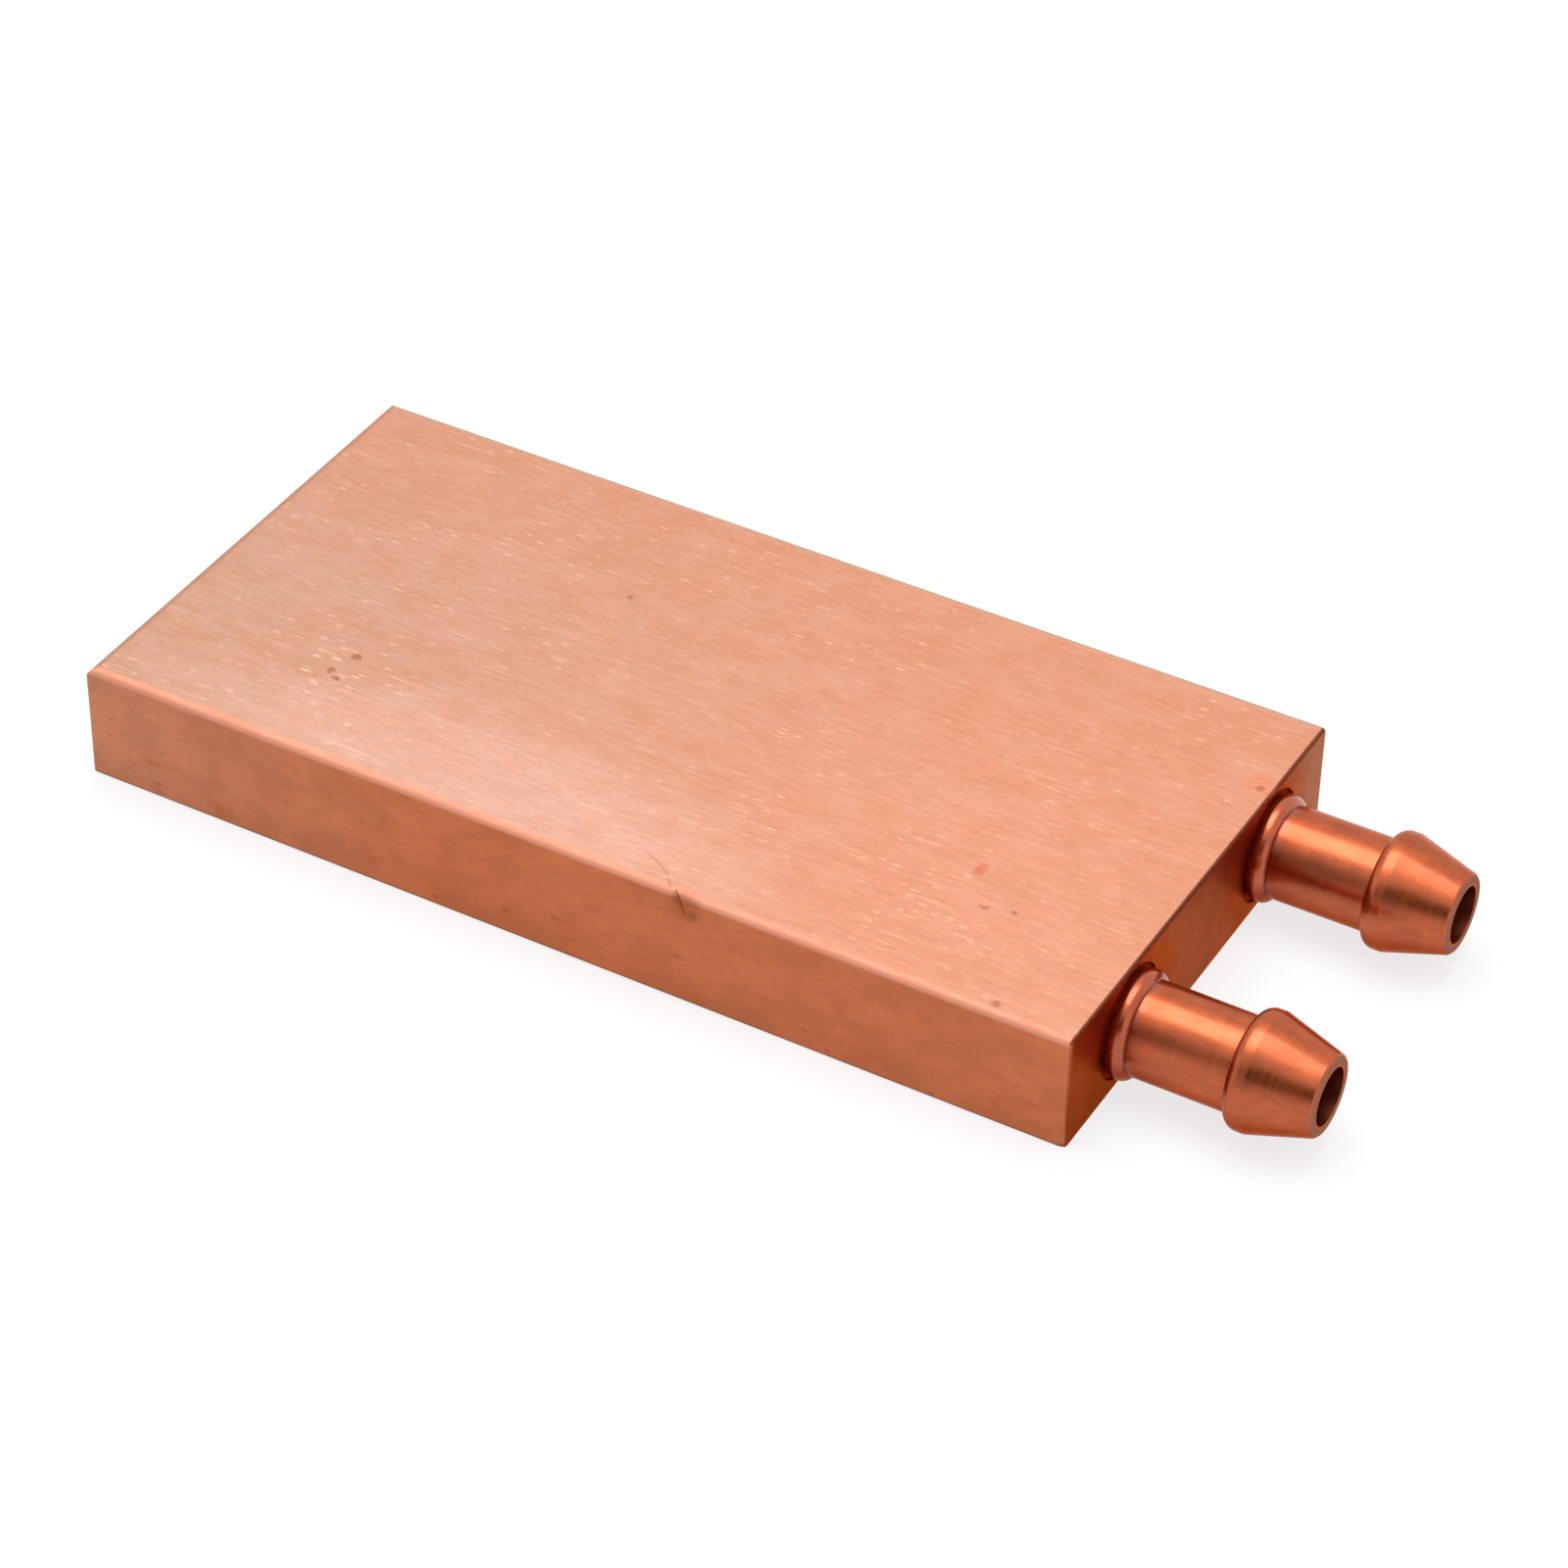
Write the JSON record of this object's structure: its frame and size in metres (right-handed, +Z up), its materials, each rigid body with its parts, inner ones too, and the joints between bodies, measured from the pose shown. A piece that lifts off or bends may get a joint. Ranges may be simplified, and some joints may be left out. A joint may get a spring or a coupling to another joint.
{
  "type": "liquid cooling cold plate",
  "caption": "Flat copper cold plate with an internal U-shaped coolant passage and hose barbs side by side in one end.",
  "frame": {"origin": "centre of the block's underside, on the base face; the barbs are left out of the centring", "axes": "+X along the plate towards the barbs, +Y across it, +Z up out of the cooling face"},
  "size_m": [0.095, 0.04, 0.0095],
  "materials": {
    "brushed_copper": "brushed copper, matt",
    "turned_copper": "turned copper, bright",
    "filler": "dull copper-phosphorus filler"
  },
  "bodies": {
    "root": {"channel_body": "brushed_copper", "cover_plate": "brushed_copper", "inlet_barb": "turned_copper", "outlet_barb": "turned_copper", "inlet_braze_ring": "filler", "outlet_braze_ring": "filler"}
  },
  "joints": []
}
